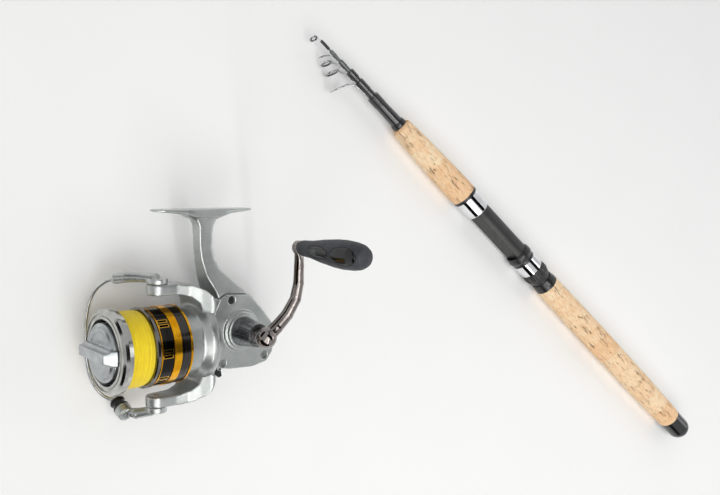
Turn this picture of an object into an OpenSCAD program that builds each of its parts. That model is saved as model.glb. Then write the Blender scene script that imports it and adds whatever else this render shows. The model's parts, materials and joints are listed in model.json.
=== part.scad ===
// Telescopic spinning rod, closed, with a spinning reel lying beside it.
// The origin is the middle of the reel seat on the rod's axis: +X to the tip, +Y to the reel, +Z up.

/* [Rod handle] */
// Length of the closed rod, butt cap to the end of the base blank
base_len = 416.5; // [400:1:430]
// Outer radius of the base blank inside the grips
blank_r = 5.0; // [4.8:0.1:5.2]
// Largest radius of the cork grips
cork_r = 10.55; // [10.3:0.05:11]
// Radius of the reel seat barrel
barrel_r = 8.65; // [8.4:0.05:8.8]
// Radius of the two chrome hoods
hood_r = 9.5; // [9.3:0.05:9.8]
// Radius of the nut over its grip wings
nut_r = 10.3; // [10:0.1:10.6]

/* [Rod sections] */
// How far each moving section's front end stands beyond the one behind it
section_step = 9.75; // [9:0.25:11]
// Radius of the steel wire of the largest guide
guide_wire = 0.55; // [0.45:0.05:0.6]

/* [Reel] */
// Length of the reel foot
foot_len = 70; // [68:1:72]
// Height of the foot's top above the spool's axis
foot_z = 81.2; // [79:0.1:83]
// Radius of the spool's front lip
lip_r = 25; // [24:0.1:25.6]
// Width of the line between the spool's flanges
line_w = 14.2; // [12:0.1:14.6]
// Height of the drive gear's axis above the spool's axis
drive_z = 5; // [4.8:0.05:5.2]
// Teeth on the drive gear
gear_teeth = 32; // [32:1:32]
// Teeth on the pinion
pinion_teeth = 7; // [7:1:7]
// Radius of the bail wire
wire_r = 0.9; // [0.7:0.05:1]

/* [Where the reel lies] */
// Spool axis origin along the rod
reel_x = 130; // [125:1:140]
// Spool axis origin out from the rod
reel_y = 208; // [200:1:220]
// Spool axis origin above the rod's axis
reel_z = 12.4; // [12:0.1:20]
// Turn of the reel on the surface it lies on
reel_yaw = 45; // [40:1:50]
// Nose of the reel up
reel_nose = 14.5; // [10:0.5:16]
// Roll of the reel on to its side
reel_roll = 81; // [78:1:86]

/* [Hidden] */
$fn = 48;

butt_x = -270;              // butt end of the rod in the part's frame
play = 0.1;                 // radial play of a sliding or turning fit
eps = 0.01;

// stations along the rod, measured from the butt end
cap_len = 24;
collar_x = 205;
nut_x = 214;
ring_x = 224.6;
lip_x = 235.6;
lip_end = 245;
hood_x = 294;
check_x = 309.5;
fore_x = 312;
fore_end = 386;
flat_y = 6.0;               // height of the flat that the reel foot lies on

// moving sections: [bore radius, rear plug radius, front radius, wrap radius, wrap length]
sec = [
    [2.80, 3.50, 3.18, 3.38, 9.5],
    [2.10, 2.70, 2.50, 3.05, 7.0],
    [1.50, 2.00, 1.75, 1.95, 6.0],
    [0.95, 1.40, 1.20, 1.40, 6.0]
];
base_bore = 3.60;
plug_len = 12;
travel = 340;               // how far each section slides out of the one around it
sec_rear = [34, 39, 44, 49, 54];
sec_front = [for (i = [0 : 4]) base_len + 15 + i * section_step];
// guides: [x from the section's front end, ring centre ahead, ring centre out, ring radius, wire]
guides = [
    [-5, 12.4, 15.4, 6.7, guide_wire],
    [-4, 11.6, 9.9, 5.2, guide_wire - 0.05],
    [-4, 9.4, 8.2, 4.1, guide_wire - 0.1],
    [-4, 5.0, 6.6, 2.9, guide_wire - 0.15]
];
guide_lean = [22, 22, 22, 27, 22]; // rings lean to the tip
guide_turn = [0, -28, -28, -24, -20];
ring_swing = [0, 21, 28, 0, 38]; // each ring's plane swings round its upright
leg_spread = [24, 24, 30, 24]; // where the two legs meet the ring, from its lowest point
leg_gap = [0.8, 0.8, 0.75, 0.8]; // half the gap between the feet, in wire radii

// reel: stations along the spool's axis
drive_x = -11.5;
pinion_r = 3.2;
mesh_x = gear_teeth / pinion_teeth * pinion_r;
body_y = 12.5;
shaft_r = 1.5;
worm_z = -8.7;
worm_teeth = 12;
pivot_x = 40;               // bail pivots, on the ends of the rotor's arms
arm_in = 30.5;
arm_out = 37;
bail_turn = -55;            // closed bail, from straight ahead towards the far side
skirt_x = 29;
flange_x = 50;
line_x = 52.6;
lip_front = 74;
knob_x = -26.5;
knob_z = 60.5;

// ---- helpers ----
module tube_x(x0, x1, ro, ri) {
    translate([x0, 0, 0]) rotate([0, 90, 0]) difference() {
        cylinder(h = x1 - x0, r = ro);
        translate([0, 0, -1]) cylinder(h = x1 - x0 + 2, r = ri);
    }
}
module bar_x(x0, x1, r1, r2) {
    translate([x0, 0, 0]) rotate([0, 90, 0]) cylinder(h = x1 - x0, r1 = r1, r2 = r2);
}
// outline of [radius, x] points turned about X
module lathe_x(points) {
    rotate([0, 90, 0]) rotate_extrude() polygon(points);
}
// round bar between two points
module stick(a, b, r1, r2) {
    v = b - a;
    l = norm(v);
    translate(a) rotate([0, acos(v[2] / l), atan2(v[1], v[0])]) cylinder(h = l, r1 = r1, r2 = r2);
}
// chain of round bars with ball joints; radii run evenly from r1 to r2
module chain(pts, r1, r2) {
    n = len(pts) - 1;
    for (i = [0 : n - 1]) {
        ra = r1 + (r2 - r1) * i / n;
        rb = r1 + (r2 - r1) * (i + 1) / n;
        stick(pts[i], pts[i + 1], ra, rb);
        translate(pts[i + 1]) sphere(r = rb * 1.03);
    }
    translate(pts[0]) sphere(r = r1 * 1.03);
}
// plate: an outline in X and Z, from y0 to y1
module plate_y(points, y0, y1) {
    translate([0, y1, 0]) rotate([90, 0, 0]) linear_extrude(height = y1 - y0) polygon(points);
}
// plate: an outline in Y and Z, from x0 to x1
module plate_x(points, x0, x1) {
    translate([x0, 0, 0]) rotate([90, 0, 90]) linear_extrude(height = x1 - x0) polygon(points);
}
module disc_y(x, z, y0, y1, r) {
    translate([x, y0, z]) rotate([-90, 0, 0]) cylinder(h = y1 - y0, r = r);
}
module disc_z(x, y, z0, z1, r) {
    translate([x, y, z0]) cylinder(h = z1 - z0, r = r);
}
module at_butt() {
    translate([butt_x, 0, 0]) children();
}
module at_reel() {
    translate([reel_x, reel_y, reel_z]) rotate([reel_roll, -reel_nose, reel_yaw]) children();
}

// ---- rod handle ----
module base_blank() {
    color("#2b2b2d") at_butt() difference() {
        lathe_x([[0, cap_len - 3.5], [blank_r, cap_len - 3.5], [blank_r, fore_end], [4.15, base_len],
            [0, base_len]]);
        stepped_bore(30, base_len, base_bore, sec_rear[0]);
    }
}
// bore of radius r that narrows ahead of the next section's plug, so that the plug stops there
module stepped_bore(x0, x1, r, plug_x) {
    bar_x(x0, plug_x + plug_len + travel + 0.3, r, r);
    bar_x(x0, x1 + 1, r - 0.18, r - 0.18);
}
module base_wrap() {
    color("#161616") at_butt() difference() {
        lathe_x([[0, 407.5], [4.5, 407.5], [4.6, 409], [4.6, 415.5], [4.4, base_len], [0, base_len]]);
        lathe_x([[0, 400], [blank_r - 0.395, 400], [4.15, base_len], [4.15, 420], [0, 420]]);
    }
}
module butt_cap() {
    color("#0e0e0f") at_butt() rotate([0, 90, 0]) rotate_extrude() difference() {
        union() {
            translate([0, 9]) square([9.5, cap_len - 9]);
            intersection() {
                translate([0.5, 9]) circle(r = 9);
                square([9.5, 9 + eps]);
            }
            square([1, 9 + eps]);
        }
        translate([0, cap_len - 4]) square([blank_r, 5]);
        translate([-20, -20]) square([20, 80]);
    }
}
function cork_bulge(x, x0, x1, r0, rm, r1) =
    let (t = (x - x0) / (x1 - x0)) r0 * (1 - t) + r1 * t + 4 * (rm - (r0 + r1) / 2) * t * (1 - t);
module rear_grip() {
    n = 12;
    color("#e8c496") at_butt() difference() {
        lathe_x(concat([[0, cap_len]],
            [for (i = [0 : n]) let (x = cap_len + (collar_x - cap_len) * i / n)
                [cork_bulge(x, cap_len, collar_x, 9.6, cork_r, 9.75), x]],
            [[0, collar_x]]));
        translate([cap_len - 1, 0, 0]) rotate([0, 90, 0]) cylinder(h = 200, r = blank_r);
    }
}
module rear_collar() {
    color("#1d1d1d") at_butt() difference() {
        lathe_x([[0, collar_x], [9.9, collar_x], [9.7, collar_x + 3], [8.8, nut_x - 2], [0, nut_x - 2]]);
        translate([collar_x - 1, 0, 0]) rotate([0, 90, 0]) cylinder(h = 12, r = blank_r);
    }
}
module seat_barrel() {
    color("#2e2e2c") at_butt() difference() {
        lathe_x(concat([[0, nut_x - 2], [barrel_r - 0.5, nut_x - 2]],
            [for (i = [0 : 11]) [barrel_r - (i % 2 == 0 ? 0.5 : 0), nut_x + i * 1.0]],
            [[barrel_r, lip_x], [barrel_r, check_x], [0, check_x]]));
        translate([nut_x - 3, 0, 0]) rotate([0, 90, 0]) cylinder(h = 110, r = blank_r);
        translate([nut_x, flat_y, -8]) cube([check_x - nut_x + 1, 4, 16]);
    }
}
module front_hood() {
    color("#d8dadc") at_butt() difference() {
        lathe_x([[0, hood_x], [hood_r - 0.3, hood_x], [hood_r, hood_x + 0.5], [hood_r, check_x - 0.4],
            [hood_r - 0.3, check_x], [0, check_x]]);
        translate([hood_x - 1, 0, 0]) rotate([0, 90, 0]) cylinder(h = 40, r = barrel_r);
    }
}
module rear_check() {
    color("#231818") at_butt() tube_x(check_x, fore_x, 10.35, blank_r);
}
module foregrip() {
    n = 8;
    color("#eccb9e") at_butt() difference() {
        lathe_x(concat([[0, fore_x]],
            [for (i = [0 : n - 1]) let (x = fore_x + (fore_end - fore_x) * i / n)
                [cork_bulge(x, fore_x, fore_end, 10.3, 9.45, 7.6), x]],
            [[7.7, fore_end - 2.6], [7.35, fore_end - 1.1], [6.6, fore_end - 0.2], [6.0, fore_end], [0, fore_end]]));
        translate([fore_x - 1, 0, 0]) rotate([0, 90, 0]) cylinder(h = 90, r = blank_r);
    }
}
module front_check() {
    color("#141414") at_butt() difference() {
        lathe_x([[0, fore_end], [5.75, fore_end], [5.75, fore_end + 2.4], [5.3, fore_end + 4],
            [0, fore_end + 4]]);
        lathe_x([[0, fore_end - 1], [blank_r, fore_end - 1], [blank_r, fore_end],
            [blank_r - 0.112, fore_end + 4], [blank_r - 0.112, fore_end + 5], [0, fore_end + 5]]);
    }
}

// ---- movable hood and its nut ----
module hood_ring() {
    color("#d8dadc") at_butt() difference() {
        lathe_x([[0, ring_x], [hood_r - 0.2, ring_x], [hood_r, ring_x + 0.4], [hood_r, lip_x], [0, lip_x]]);
        translate([ring_x - 1, 0, 0]) rotate([0, 90, 0]) cylinder(h = 13, r = barrel_r + play);
    }
}
module hood_lip() {
    color("#1c1c1c") at_butt() difference() {
        lathe_x([[0, lip_x], [hood_r, lip_x], [9.3, lip_x + 2.4], [10.2, lip_x + 4.2], [10.3, lip_x + 6],
            [10.0, lip_end - 1.5], [9.2, lip_end], [0, lip_end]]);
        translate([lip_x - 1, 0, 0]) rotate([0, 90, 0]) cylinder(h = 12, r = barrel_r + play);
    }
}
module seat_nut() {
    grooves = 16;
    color("#19191b") at_butt() difference() {
        lathe_x([[0, nut_x], [9.0, nut_x], [9.4, nut_x + 2], [nut_r, nut_x + 5], [nut_r, nut_x + 8.6],
            [9.7, ring_x], [0, ring_x]]);
        translate([nut_x - 1, 0, 0]) rotate([0, 90, 0]) cylinder(h = 13, r = barrel_r + play);
        for (i = [0 : grooves - 1])
            rotate([i * 360 / grooves, 0, 0])
                translate([nut_x + 2, 0, nut_r + 0.9]) rotate([0, 90, 0]) cylinder(h = 12, r = 1.5);
    }
}

// ---- moving rod sections ----
module section(i) {
    s = sec[i];
    x0 = sec_rear[i];
    x1 = sec_front[i];
    color(i < 2 ? "#1b1b1c" : "#5c5f63") at_butt() difference() {
        lathe_x([[0, x0], [s[1], x0], [s[1], x0 + plug_len], [s[1] - 0.16, x0 + plug_len + 0.4],
            [s[2], x1 - s[4]], [s[3] - 0.15, x1 - s[4]], [s[3], x1 - s[4] + 0.6], [s[3], x1 - 0.6],
            [s[3] - 0.2, x1], [0, x1]]);
        stepped_bore(x0 - 1, x1, s[0], sec_rear[i + 1]);
    }
}
module tip_section() {
    x0 = sec_rear[4];
    x1 = sec_front[4];
    color("#1a1a1b") at_butt()
        lathe_x([[0, x0], [0.85, x0], [0.85, x0 + plug_len], [0.7, x0 + plug_len + 0.4], [0.6, x1 - 8.5],
            [0.65, x1 - 8.5], [0.65, x1 - 0.5], [0, x1 - 0.5]]);
}
module ring_at(i, ahead, out, major, minor) {
    rotate([guide_turn[i], 0, 0]) translate([ahead, out, 0]) rotate([0, 0, -guide_lean[i]])
        rotate([0, ring_swing[i], 0]) rotate([90, 0, 90]) rotate_extrude() translate([major, 0]) circle(r = minor);
}
// up the ring's plane, and across it
function ring_up(i) = [sin(guide_lean[i]), cos(guide_lean[i]), 0];
function ring_side(i) = [cos(guide_lean[i]) * sin(ring_swing[i]), -sin(guide_lean[i]) * sin(ring_swing[i]),
    cos(ring_swing[i])];
// wire frame: two feet on the wrap, two legs up to the ring and the ring's outer hoop
module guide_frame(i) {
    g = guides[i];
    wrap = sec[i][3];
    r = g[4] * 0.8;
    c = [g[1], g[2], 0];
    color("#b9bcc0") at_butt() translate([sec_front[i] + g[0], 0, 0]) {
        rotate([guide_turn[i], 0, 0]) for (side = [-1, 1]) {
            heel = [-4.5, wrap + r, side * r * leg_gap[i]];
            toe = [-1, wrap + r, side * r * leg_gap[i]];
            knee = [g[1] * 0.4, wrap + r + 0.6, side * r * (leg_gap[i] + 0.8)];
            top = c - g[3] * (cos(leg_spread[i]) * ring_up(i) - side * sin(leg_spread[i]) * ring_side(i));
            stick(heel, toe, r, r);
            translate(toe) sphere(r = r * 1.04);
            stick(toe, knee, r, r);
            translate(knee) sphere(r = r * 1.04);
            stick(knee, top, r, r);
        }
        ring_at(i, g[1], g[2], g[3], g[4]);
    }
}
module guide_ring(i) {
    g = guides[i];
    color("#121212") at_butt() translate([sec_front[i] + g[0], 0, 0])
        ring_at(i, g[1], g[2], g[3] - g[4] - 0.45, 0.5);
}
tip_ring = [4.6, 2.9, 2.75];
module tip_top_frame() {
    x1 = sec_front[4];
    color("#b9bcc0") at_butt() {
        tube_x(x1 - 8, x1 - 0.5, 1.1, 0.65);
        bar_x(x1 - 0.5, x1 + 0.4, 1.1, 0.75);
        translate([x1, 0, 0]) {
            rotate([guide_turn[4], 0, 0]) stick([-0.2, 0.2, 0],
                [tip_ring[0], tip_ring[1], 0] - tip_ring[2] * ring_up(4), 0.6, 0.36);
            ring_at(4, tip_ring[0], tip_ring[1], tip_ring[2], 0.42);
        }
    }
}
module tip_top_ring() {
    color("#121212") at_butt() translate([sec_front[4], 0, 0])
        ring_at(4, tip_ring[0], tip_ring[1], tip_ring[2] - 0.82, 0.42);
}

// ---- reel body ----
lever_at = [-3, -20.3];
body_line = [[8.3, -13], [8.3, 17], [4, 26], [-1, 29.6], [-18.5, 27.4], [-29, 16], [-38.5, 4.5], [-39, 2],
    [-36.5, -12], [-32, -17.5], [-21, -19.7], [-4, -18.7], [5, -17]];
body_hole = [[6.6, -12], [6.6, 16.5], [2.6, 24.6], [-1.6, 27.5], [-17.6, 25.4], [-27.4, 15], [-36.6, 3.6],
    [-34.6, -11], [-30.8, -15.7], [-20.6, -17.7], [-4.2, -16.7], [4, -15.2]];
stem_line = [[3.4, 77], [14.6, 77], [14.2, 66], [13.6, 57], [12.4, 49], [9.5, 39], [5.5, 31], [4, 26], [-1, 28.6],
    [-18.5, 27.3], [-13, 31.6], [-6.6, 37.4], [-0.4, 43.6], [3, 50], [4.4, 58], [4.4, 66]];
screw_pts = [[-4.5, 24.8], [-30, -13.3], [1.5, -14.4]];
split_y = 3;                // joint between the frame and the side cover

module foot_plate() {
    back = -25.4;
    front = back + foot_len;
    intersection() {
        translate([0, 0, foot_z - 5]) linear_extrude(height = 5)
            polygon([[back + 1, -3.5], [back, 0], [back + 1, 3.5], [back + 6, 5.6], [-4, 6.9],
                [20, 6.9], [front - 6, 5.6], [front - 1, 3.5], [front, 0], [front - 1, -3.5],
                [front - 6, -5.6], [20, -6.9], [-4, -6.9], [back + 6, -5.6]]);
        plate_y([[back - 1, foot_z], [front + 1, foot_z], [front, foot_z - 1.2], [front - 18, foot_z - 2.8],
            [front - 27, foot_z - 5], [back + 25, foot_z - 5], [back + 18, foot_z - 2.8],
            [back, foot_z - 1.2]], -8, 8);
    }
    plate_y([[-4, foot_z - 4.6], [22, foot_z - 4.6], [16.4, foot_z - 6.6], [14.4, foot_z - 10],
        [3.6, foot_z - 10], [2, foot_z - 6.6]], -4.4, 4.4);
}
// screw towers and the shell's shared inside
module towers(y0, y1) {
    for (p = screw_pts) disc_y(p[0], p[1], y0, y1, 2.4);
}
module stem() {
    half = [[4.5, 82], [4.4, 68], [4.1, 60], [4.4, 51], [5.9, 42], [8.2, 35], [10.4, 29], [11.5, 24]];
    intersection() {
        plate_y(stem_line, -12, 12);
        plate_x(concat(half, [for (i = [len(half) - 1 : -1 : 0]) [-half[i][0], half[i][1]]]), -30, 30);
    }
}
module shell(y0, y1, h0, h1) {
    difference() {
        plate_y(body_line, y0, y1);
        plate_y(body_hole, h0, h1);
        translate([6, 0, 0]) rotate([0, 90, 0]) cylinder(h = 7.5, r = 15.4);
    }
}
module reel_frame() {
    color("#a9adab") at_reel() difference() {
        union() {
            foot_plate();
            stem();
            shell(-body_y, split_y, -body_y + 2.2, split_y + 1);
            difference() {
                bar_x(8.2, 15.5, 17, 16.6);
                translate([8, split_y, -20]) cube([0.35, 20, 40]);
                translate([6, 0, 0]) rotate([0, 90, 0]) cylinder(h = 7.5, r = 15.4);
            }
            towers(-body_y + 1, split_y);
            for (y = [-2.9, 1.9]) plate_y([[-5.6, -17.5], [-0.6, -17.5], [-1.4, -21.8], [-4.4, -21.8]], y, y + 1);
        }
        bar_x(13, 17, 6.55, 6.55);
        disc_y(drive_x, drive_z, -body_y + 0.8, 0, 6.05);
        translate([0, 0, worm_z]) bar_x(-36.2, 14.6, 2.0, 2.0);
        disc_y(lever_at[0], lever_at[1], -4, 4, 0.95);
        plate_y([[-33.4, -12.1], [-26, -12.1], [-26, -9], [-33.4, -9]], -2.6, 2.6);
        for (p = screw_pts) disc_y(p[0], p[1], -body_y + 2.5, split_y + 1, 1.3);
    }
}
module side_cover() {
    color("#a9adab") at_reel() difference() {
        union() {
            shell(split_y, body_y, split_y - 1, body_y - 2.2);
            disc_y(drive_x, drive_z, body_y - 2.3, 14.2, 12.6);
            disc_y(drive_x, drive_z, body_y - 2.3, 16, 10.8);
            towers(split_y, body_y - 2);
        }
        difference() {
            plate_y(stem_line, 0, 13);
            translate([-40, -1, -40]) cube([80, 15, 65.9]);
        }
        disc_y(drive_x, drive_z, 9, 20, 6.05);
        for (p = screw_pts) disc_y(p[0], p[1], split_y - 1, body_y - 1, 1.3);
        for (p = screw_pts) disc_y(p[0], p[1], body_y - 3, body_y + 1, 2.5);
    }
}
module body_screws() {
    color("#3a3c3e") at_reel() difference() {
        for (p = screw_pts) {
            disc_y(p[0], p[1], body_y - 3, body_y - 1.2, 2.4);
            disc_y(p[0], p[1], -9, body_y - 2.9, 1.25);
        }
        for (p = screw_pts) translate([p[0], body_y - 1.2, p[1]]) for (a = [0, 90])
            rotate([0, a, 0]) cube([3.2, 1.6, 0.6], center = true);
    }
}
module ball_bearing_y(y0, y1, ro, ri) {
    rm = (ro + ri) / 2;
    translate([drive_x, y0, drive_z]) rotate([-90, 0, 0]) difference() {
        cylinder(h = y1 - y0, r = ro);
        translate([0, 0, -1]) cylinder(h = y1 - y0 + 2, r = ri);
        translate([0, 0, -0.1]) difference() {
            cylinder(h = 0.5, r = rm + 0.7);
            cylinder(h = 0.6, r = rm - 0.7);
        }
    }
}
module drive_bearings() {
    color("#c9ccce") at_reel() {
        ball_bearing_y(10.4, 13.4, 6.0, 2.95);
        ball_bearing_y(-11.6, -9.2, 6.0, 2.95);
    }
}
module pinion_bearing() {
    color("#c9ccce") at_reel() difference() {
        tube_x(13.05, 15.4, 6.5, 2.95);
        tube_x(15.0, 16, 5.4, 4.2);
    }
}
module roller_clutch() {
    color("#8c9196") at_reel() difference() {
        tube_x(15.5, 18, 8, 2.98);
        for (i = [0 : 5]) rotate([i * 60, 0, 0]) bar_shift();
    }
}
module bar_shift() {
    translate([17.2, 0, 5.6]) rotate([0, 90, 0]) cylinder(h = 1, r = 0.9);
}
module anti_reverse_lever() {
    color("#2b2c2e") at_reel() {
        disc_y(lever_at[0], lever_at[1], -1.8, 1.8, 1.4);
        disc_y(lever_at[0], lever_at[1], -2.9, 2.9, 0.9);
        plate_y([[-4, -20.8], [-2, -20.8], [-1.6, -25], [-3, -26.4], [-5, -25.6]], -1.8, 1.8);
    }
}

// ---- handle side ----
module drive_gear() {
    color("#b08d4e") at_reel() {
        disc_y(drive_x, drive_z, -11.6, 30, 2.9);
        disc_y(drive_x, drive_z, -8.4, -4.3, mesh_x + 2.1);
        translate([drive_x, 0, drive_z]) for (i = [0 : gear_teeth - 1])
            rotate([0, (i + 0.5) * 360 / gear_teeth, 0])
                translate([mesh_x - 1.2, -4.4, -drive_z - 0.35]) cube([2.9, 1.6, 0.7]);
    }
}
module drive_sleeve() {
    color("#6f7478") at_reel() difference() {
        union() {
            translate([drive_x, 16.4, drive_z]) rotate([-90, 0, 0]) cylinder(h = 15, r1 = 9.2, r2 = 7.2);
            disc_y(drive_x, drive_z, 13.6, 16.5, 5.8);
        }
        disc_y(drive_x, drive_z, 12, 40, 2.9);
        translate([drive_x, 0, drive_z]) for (i = [0 : 11]) rotate([0, i * 30, 0])
            stick([10.0, 18.2, 0], [8.2, 32.5, 0], 1.15, 1.15);
    }
}
module crank_arm() {
    pts = [[-12.5, 39.5, 6], [-18, 40.5, 11], [-25, 42, 18.5], [-29.6, 43.8, 28], [-30.5, 45.4, 38],
        [-28.6, 47.8, 49], [knob_x, 50.2, knob_z - 3]];
    color("#8b8580") at_reel() difference() {
        union() {
            translate([drive_x, 39, drive_z]) sphere(r = 6.6);
            disc_y(drive_x, drive_z, 31.4, 39, 5.4);
            chain(pts, 4.3, 2.8);
            disc_y(knob_x, knob_z, 48, 52, 4.2);
        }
        disc_y(drive_x, drive_z, 30, 34, 2.9);
        disc_y(drive_x, drive_z, 28, 31.4, 9);
        disc_y(knob_x, knob_z, 44, 49.2, 3.2);
        disc_y(knob_x, knob_z, 52, 56, 9);
        disc_y(knob_x, knob_z, 46, 54, 1.8);
    }
}
module knob_spindle() {
    color("#d0d2d4") at_reel() {
        disc_y(knob_x, knob_z, 49, 104, 1.8);
        disc_y(knob_x, knob_z, 47.8, 49.2, 3);
    }
}
knob_line = [[4.4, 52.6], [4.8, 55], [5.3, 63], [6.9, 73], [8.2, 85], [8.5, 92], [8.1, 100], [7.2, 105],
    [5.4, 108.4]];
module knob_solid() {
    translate([knob_x, 0, knob_z]) rotate([-90, 0, 0]) rotate_extrude()
        polygon(concat([[0, knob_line[0][1]]], knob_line, [[0, 109.4]]));
}
// inserts [middle along Y, half length, half width]: a small and a large oval on the knob's front and back
ovals = [[74.5, 10.5, 3.3], [97, 9.6, 5.0]];
module panel_blocks(grow) {
    for (side = [0, 180], o = ovals)
        translate([knob_x, o[0], knob_z]) rotate([0, side, 0]) rotate([90, 0, 90]) translate([0, 0, 4.4 - grow])
            linear_extrude(height = 6)
                polygon([for (i = [0 : 29]) [(o[1] + grow) * cos(i * 12), (o[2] + grow) * sin(i * 12)]]);
}
module handle_knob() {
    color("#3a3b40") at_reel() difference() {
        knob_solid();
        disc_y(knob_x, knob_z, 40, 105, 1.8 + play);
        panel_blocks(0.03);
    }
}
module knob_panels() {
    color("#0c0c0e") at_reel() intersection() {
        knob_solid();
        panel_blocks(0);
    }
}

// ---- rotor ----
arm_side = [[9.2, 19], [9.2, 25], [11, 29], [15, 33], [21, 36], [28, arm_out], [47, arm_out], [47, arm_in],
    [28, arm_in], [22, 28.6], [18, 25], [16.5, 19]];
arm_half = [[8, 17.5], [12, 16.5], [17, 12.5], [23, 9], [31, 7.2], [pivot_x, 6.5]];
module rotor_arm(side) {
    nose = [for (a = [75 : -15 : -75]) [pivot_x + 6.5 * cos(a), 6.5 * sin(a)]];
    far = [for (i = [len(arm_half) - 1 : -1 : 0]) [arm_half[i][0], -arm_half[i][1]]];
    mirror([0, 0, side < 0 ? 1 : 0]) intersection() {
        plate_y(arm_side, -18, 18);
        translate([0, 0, 15]) linear_extrude(height = 30) polygon(concat(arm_half, nose, far));
    }
}
module rotor() {
    color("#acb0ae") at_reel() difference() {
        union() {
            lathe_x([[0, 9.2], [22.8, 9.2], [24.3, 10.4], [24.8, 12.6], [24.3, 15.4], [22.4, 17.8],
                [20.9, 19.6], [20.6, 30.5], [0, 30.5]]);
            for (side = [-1, 1]) rotor_arm(side);
        }
        bar_x(8, 18.6, 18.9, 18.9);
        bar_x(21.5, 31, 18.9, 18.9);
        bar_x(18, 23, 3.0, 3.0);
        for (side = [-1, 1]) disc_z(pivot_x, 0, side * 34 - 4, side * 34 + 4, 1.6);
    }
}
module rotor_nut() {
    color("#c9b27a") at_reel() difference() {
        translate([21.5, 0, 0]) rotate([0, 90, 0]) cylinder(h = 4, r = 6.5, $fn = 6);
        bar_x(20, 27, 3.0, 3.0);
    }
}
module tooth_x(r0, r1, x0, x1) {
    translate([x0, 0, 0]) rotate([0, 90, 0]) rotate([0, 0, 90]) linear_extrude(height = x1 - x0)
        polygon([[-0.62, r0 - 0.3], [0.62, r0 - 0.3], [0.26, r1], [-0.26, r1]]);
}
module pinion() {
    color("#c2a15e") at_reel() difference() {
        union() {
            bar_x(-1, 12, 2.3, 2.3);
            bar_x(12, 27, 2.93, 2.93);
            // one tooth points at the drive gear
            for (i = [0 : pinion_teeth - 1])
                rotate([i * 360 / pinion_teeth + 90, 0, 0]) tooth_x(2.3, 3.9, 0.5, 11.6);
        }
        bar_x(-2, 28, shaft_r + 0.05, shaft_r + 0.05);
    }
}
// drawn in the turned frame of the closed bail: +X leads from the pivot to the wire
module at_bail() {
    at_reel() translate([pivot_x, 0, 0]) rotate([0, 0, bail_turn]) children();
}
module bail_arm() {
    color("#b4b8b5") at_bail() {
        disc_z(0, 0, arm_out + 0.15, arm_out + 3.4, 6.2);
        disc_z(0, 0, arm_out - 3.6, arm_out + 0.2, 1.5);
        for (y = [-1.6, 1.6]) chain([[2, y * 1.5, 40.3], [11, y * 0.9, 40.3], [19, y, 39.9], [26, y * 0.6, 38.8]], 2.6, 3.3);
    }
}
wire_pts = [[27.0, 0, 38.2], [33.5, 0, 36.0], [39.6, 0, 31], [44.2, 0, 23], [46.4, 0, 12], [46.8, 0, 0],
    [46.2, 0, -12], [43.8, 0, -23], [39.2, -0.8, -31.5], [33.9, -2.6, -36.2]];
roller_c = [25.4, -2, -39.6];
roller_dir = [-0.756, 0.508, -0.413];
// +Z along the roller's axis, from the roller's middle
module at_roller() {
    translate(roller_c) rotate([0, acos(roller_dir[2]), atan2(roller_dir[1], roller_dir[0])]) children();
}
module bail_wire() {
    color("#c3c6c8") at_bail() difference() {
        union() {
            chain(wire_pts, wire_r, wire_r);
            at_roller() translate([0, 0, -5.6]) cylinder(h = 2.2, r = 2.4);
            stick(wire_pts[9], roller_c - 4.6 * roller_dir, wire_r * 1.1, 1.5);
        }
        at_roller() translate([0, 0, -7]) cylinder(h = 20, r = 1.0);
        at_roller() translate([0, 0, -3.4]) cylinder(h = 8, r = 6);
    }
}
module roller_arm() {
    elbow = [12.6, 1.6, -42.6];
    end = roller_c + 6.6 * roller_dir;
    color("#b4b8b5") at_bail() {
        disc_z(0, 0, -arm_out - 3.6, -arm_out - 0.15, 6.2);
        disc_z(0, 0, -arm_out - 0.3, -arm_out + 3.6, 1.5);
        difference() {
            union() {
                stick([2, 0.2, -40.4], elbow, 2.9, 3.2);
                translate(elbow) sphere(r = 3.4);
                stick(elbow, end, 3.1, 2.7);
                at_roller() translate([0, 0, 4.2]) cylinder(h = 5.4, r1 = 5.2, r2 = 4.6);
            }
            at_roller() translate([0, 0, 3.9]) mirror([0, 0, 1]) cylinder(h = 7.3, r = 5.6);
            at_roller() translate([0, 0, -6]) cylinder(h = 20, r = 1.03);
            at_roller() translate([0, 0, 9.6]) cylinder(h = 6, r = 2.5);
        }
    }
}
module line_roller() {
    color("#1b1b1c") at_bail() at_roller() difference() {
        rotate_extrude() polygon([[0, -3.1], [4.3, -3.1], [4.7, -2.5], [4.0, -0.6], [4.0, 0.8], [4.9, 2.7], [4.9, 3.7], [0, 3.7]]);
        translate([0, 0, -4]) cylinder(h = 9, r = 1.05);
    }
}
module roller_screw() {
    color("#55585a") at_bail() at_roller() {
        translate([0, 0, -5.6]) cylinder(h = 15.4, r = 1.0);
        translate([0, 0, 9.6]) difference() {
            cylinder(h = 1.0, r1 = 2.4, r2 = 2.0);
            translate([0, 0, 1.0]) cube([6, 0.6, 1.0], center = true);
        }
    }
}

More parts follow.
